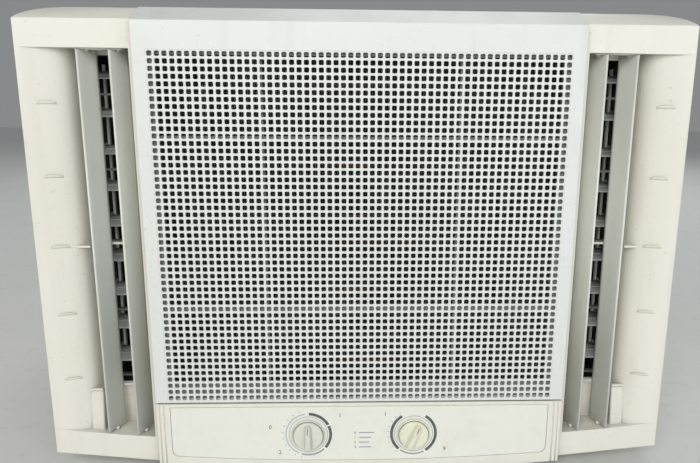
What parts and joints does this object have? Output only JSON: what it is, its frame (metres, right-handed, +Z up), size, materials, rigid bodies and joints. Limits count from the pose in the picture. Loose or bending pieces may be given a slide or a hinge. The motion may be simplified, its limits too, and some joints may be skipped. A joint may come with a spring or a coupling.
{
  "type": "window air conditioner",
  "caption": "Window air conditioner: steel cabinet with a moulded front, tilting intake grille over a filter, side outlets with vanes and linked blades, and two dial knobs.",
  "frame": {"origin": "centre of the bounding box's base, on the surface that the cabinet stands on", "axes": "+X to the right of someone facing the front, +Y to the rear (the front faces -Y), +Z up"},
  "size_m": [0.6, 0.572, 0.441],
  "materials": {
    "painted_steel": "semi-gloss baked enamel",
    "galvanised_steel": "spangled zinc",
    "rubber": "matt moulded",
    "cream_plastic": "fine-textured moulded, aged",
    "white_plastic": "fine-textured moulded",
    "filter_net": "woven net on a moulded frame",
    "label_film": "printed film",
    "black_plastic": "moulded",
    "finned_aluminium": "bright rolled fins",
    "aluminium_can": "drawn can",
    "shaft_steel": "ground",
    "knob_plastic": "polished, yellowed",
    "duct_plastic": "moulded",
    "vane_plastic": "moulded",
    "black_enamel": "gloss black",
    "copper": "drawn tube"
  },
  "bodies": {
    "root": {"outer_cabinet": "painted_steel", "rear_guard": "painted_steel", "base_pan": "galvanised_steel", "bulkhead": "galvanised_steel", "fan_shroud": "galvanised_steel", "motor_bracket": "galvanised_steel", "control_box": "galvanised_steel", "thermostat": "galvanised_steel", "fan_motor": "galvanised_steel", "inlet_grommet": "rubber", "front_frame": "cream_plastic", "control_fascia": "cream_plastic", "control_label": "label_film", "selector_switch": "black_plastic", "blower_housing": "black_plastic", "evaporator_coil": "finned_aluminium", "condenser_coil": "finned_aluminium", "run_capacitor": "aluminium_can", "left_outlet_duct": "duct_plastic", "right_outlet_duct": "duct_plastic", "compressor": "black_enamel", "suction_accumulator": "black_enamel", "filter_drier": "copper", "discharge_pipe": "copper", "suction_pipe": "copper", "capillary_tube": "copper"},
    "intake_door": {"intake_grille": "white_plastic", "air_filter": "filter_net"},
    "mode_control": {"mode_knob": "knob_plastic", "mode_spindle": "shaft_steel"},
    "thermostat_control": {"thermostat_knob": "knob_plastic", "thermostat_spindle": "shaft_steel"},
    "fan_rotor": {"motor_shaft": "shaft_steel", "blower_wheel": "black_plastic", "condenser_fan": "black_plastic"},
    "left_vane_inner": {"left_vane_inner": "vane_plastic"},
    "left_vane_outer": {"left_vane_outer": "vane_plastic"},
    "left_blade_1": {"left_blade_1": "duct_plastic"},
    "left_blade_2": {"left_blade_2": "duct_plastic"},
    "left_blade_3": {"left_blade_3": "duct_plastic"},
    "left_blade_4": {"left_blade_4": "duct_plastic"},
    "left_blade_5": {"left_blade_5": "duct_plastic"},
    "left_blade_6": {"left_blade_6": "duct_plastic"},
    "left_blade_7": {"left_blade_7": "duct_plastic"},
    "left_blade_8": {"left_blade_8": "duct_plastic"},
    "left_blade_9": {"left_blade_9": "duct_plastic"},
    "left_link_bar": {"left_link_bar": "vane_plastic"},
    "right_vane_inner": {"right_vane_inner": "vane_plastic"},
    "right_vane_outer": {"right_vane_outer": "vane_plastic"},
    "right_blade_1": {"right_blade_1": "duct_plastic"},
    "right_blade_2": {"right_blade_2": "duct_plastic"},
    "right_blade_3": {"right_blade_3": "duct_plastic"},
    "right_blade_4": {"right_blade_4": "duct_plastic"},
    "right_blade_5": {"right_blade_5": "duct_plastic"},
    "right_blade_6": {"right_blade_6": "duct_plastic"},
    "right_blade_7": {"right_blade_7": "duct_plastic"},
    "right_blade_8": {"right_blade_8": "duct_plastic"},
    "right_blade_9": {"right_blade_9": "duct_plastic"},
    "right_link_bar": {"right_link_bar": "vane_plastic"}
  },
  "joints": [
    {"name": "intake_door_tilt", "type": "hinge", "parent": "root", "child": "intake_door", "pos_m": [0, -0.271, 0.078], "axis": [1, 0, 0], "range_deg": [0, 75]},
    {"name": "mode_knob_turn", "type": "hinge", "parent": "root", "child": "mode_control", "pos_m": [-0.0517, -0.274, 0.04], "axis": [0, -1, 0], "range_deg": [-135, 135]},
    {"name": "thermostat_knob_turn", "type": "hinge", "parent": "root", "child": "thermostat_control", "pos_m": [0.0517, -0.274, 0.04], "axis": [0, -1, 0], "range_deg": [-113, 157]},
    {"name": "fan_rotor_spin", "type": "hinge", "parent": "root", "child": "fan_rotor", "pos_m": [0, -0.054, 0.225], "axis": [0, 1, 0], "continuous": true},
    {"name": "left_vane_inner_turn", "type": "hinge", "parent": "root", "child": "left_vane_inner", "pos_m": [-0.2155, -0.2535, 0.22], "axis": [0, 0, 1], "range_deg": [-20, 45]},
    {"name": "left_vane_outer_turn", "type": "hinge", "parent": "root", "child": "left_vane_outer", "pos_m": [-0.2435, -0.2535, 0.22], "axis": [0, 0, 1], "range_deg": [-20, 45]},
    {"name": "left_blade_1_tilt", "type": "hinge", "parent": "root", "child": "left_blade_1", "pos_m": [-0.236, -0.216, 0.1025], "axis": [1, 0, 0], "range_deg": [-25, 25]},
    {"name": "left_blade_2_tilt", "type": "hinge", "parent": "root", "child": "left_blade_2", "pos_m": [-0.236, -0.216, 0.1375], "axis": [1, 0, 0], "range_deg": [-25, 25]},
    {"name": "left_blade_3_tilt", "type": "hinge", "parent": "root", "child": "left_blade_3", "pos_m": [-0.236, -0.216, 0.1725], "axis": [1, 0, 0], "range_deg": [-25, 25]},
    {"name": "left_blade_4_tilt", "type": "hinge", "parent": "root", "child": "left_blade_4", "pos_m": [-0.236, -0.216, 0.2075], "axis": [1, 0, 0], "range_deg": [-25, 25]},
    {"name": "left_blade_5_tilt", "type": "hinge", "parent": "root", "child": "left_blade_5", "pos_m": [-0.236, -0.216, 0.2425], "axis": [1, 0, 0], "range_deg": [-25, 25]},
    {"name": "left_blade_6_tilt", "type": "hinge", "parent": "root", "child": "left_blade_6", "pos_m": [-0.236, -0.216, 0.2775], "axis": [1, 0, 0], "range_deg": [-25, 25]},
    {"name": "left_blade_7_tilt", "type": "hinge", "parent": "root", "child": "left_blade_7", "pos_m": [-0.236, -0.216, 0.3125], "axis": [1, 0, 0], "range_deg": [-25, 25]},
    {"name": "left_blade_8_tilt", "type": "hinge", "parent": "root", "child": "left_blade_8", "pos_m": [-0.236, -0.216, 0.3475], "axis": [1, 0, 0], "range_deg": [-25, 25]},
    {"name": "left_blade_9_tilt", "type": "hinge", "parent": "root", "child": "left_blade_9", "pos_m": [-0.236, -0.216, 0.3825], "axis": [1, 0, 0], "range_deg": [-25, 25]},
    {"name": "left_link_bar_swing", "type": "hinge", "parent": "left_blade_1", "child": "left_link_bar", "pos_m": [-0.2495, -0.19861, 0.10716], "axis": [1, 0, 0], "range_deg": [-25, 25]},
    {"name": "right_vane_inner_turn", "type": "hinge", "parent": "root", "child": "right_vane_inner", "pos_m": [0.2155, -0.2535, 0.22], "axis": [0, 0, 1], "range_deg": [-45, 20]},
    {"name": "right_vane_outer_turn", "type": "hinge", "parent": "root", "child": "right_vane_outer", "pos_m": [0.2435, -0.2535, 0.22], "axis": [0, 0, 1], "range_deg": [-45, 20]},
    {"name": "right_blade_1_tilt", "type": "hinge", "parent": "root", "child": "right_blade_1", "pos_m": [0.236, -0.216, 0.1025], "axis": [1, 0, 0], "range_deg": [-25, 25]},
    {"name": "right_blade_2_tilt", "type": "hinge", "parent": "root", "child": "right_blade_2", "pos_m": [0.236, -0.216, 0.1375], "axis": [1, 0, 0], "range_deg": [-25, 25]},
    {"name": "right_blade_3_tilt", "type": "hinge", "parent": "root", "child": "right_blade_3", "pos_m": [0.236, -0.216, 0.1725], "axis": [1, 0, 0], "range_deg": [-25, 25]},
    {"name": "right_blade_4_tilt", "type": "hinge", "parent": "root", "child": "right_blade_4", "pos_m": [0.236, -0.216, 0.2075], "axis": [1, 0, 0], "range_deg": [-25, 25]},
    {"name": "right_blade_5_tilt", "type": "hinge", "parent": "root", "child": "right_blade_5", "pos_m": [0.236, -0.216, 0.2425], "axis": [1, 0, 0], "range_deg": [-25, 25]},
    {"name": "right_blade_6_tilt", "type": "hinge", "parent": "root", "child": "right_blade_6", "pos_m": [0.236, -0.216, 0.2775], "axis": [1, 0, 0], "range_deg": [-25, 25]},
    {"name": "right_blade_7_tilt", "type": "hinge", "parent": "root", "child": "right_blade_7", "pos_m": [0.236, -0.216, 0.3125], "axis": [1, 0, 0], "range_deg": [-25, 25]},
    {"name": "right_blade_8_tilt", "type": "hinge", "parent": "root", "child": "right_blade_8", "pos_m": [0.236, -0.216, 0.3475], "axis": [1, 0, 0], "range_deg": [-25, 25]},
    {"name": "right_blade_9_tilt", "type": "hinge", "parent": "root", "child": "right_blade_9", "pos_m": [0.236, -0.216, 0.3825], "axis": [1, 0, 0], "range_deg": [-25, 25]},
    {"name": "right_link_bar_swing", "type": "hinge", "parent": "right_blade_1", "child": "right_link_bar", "pos_m": [0.2495, -0.19861, 0.10716], "axis": [1, 0, 0], "range_deg": [-25, 25]}
  ],
  "couplings": [
    {"joint": "left_blade_2_tilt", "follows": "left_blade_1_tilt", "ratio": 1},
    {"joint": "left_blade_3_tilt", "follows": "left_blade_1_tilt", "ratio": 1},
    {"joint": "left_blade_4_tilt", "follows": "left_blade_1_tilt", "ratio": 1},
    {"joint": "left_blade_5_tilt", "follows": "left_blade_1_tilt", "ratio": 1},
    {"joint": "left_blade_6_tilt", "follows": "left_blade_1_tilt", "ratio": 1},
    {"joint": "left_blade_7_tilt", "follows": "left_blade_1_tilt", "ratio": 1},
    {"joint": "left_blade_8_tilt", "follows": "left_blade_1_tilt", "ratio": 1},
    {"joint": "left_blade_9_tilt", "follows": "left_blade_1_tilt", "ratio": 1},
    {"joint": "left_link_bar_swing", "follows": "left_blade_1_tilt", "ratio": -1},
    {"joint": "right_blade_2_tilt", "follows": "right_blade_1_tilt", "ratio": 1},
    {"joint": "right_blade_3_tilt", "follows": "right_blade_1_tilt", "ratio": 1},
    {"joint": "right_blade_4_tilt", "follows": "right_blade_1_tilt", "ratio": 1},
    {"joint": "right_blade_5_tilt", "follows": "right_blade_1_tilt", "ratio": 1},
    {"joint": "right_blade_6_tilt", "follows": "right_blade_1_tilt", "ratio": 1},
    {"joint": "right_blade_7_tilt", "follows": "right_blade_1_tilt", "ratio": 1},
    {"joint": "right_blade_8_tilt", "follows": "right_blade_1_tilt", "ratio": 1},
    {"joint": "right_blade_9_tilt", "follows": "right_blade_1_tilt", "ratio": 1},
    {"joint": "right_link_bar_swing", "follows": "right_blade_1_tilt", "ratio": -1}
  ]
}
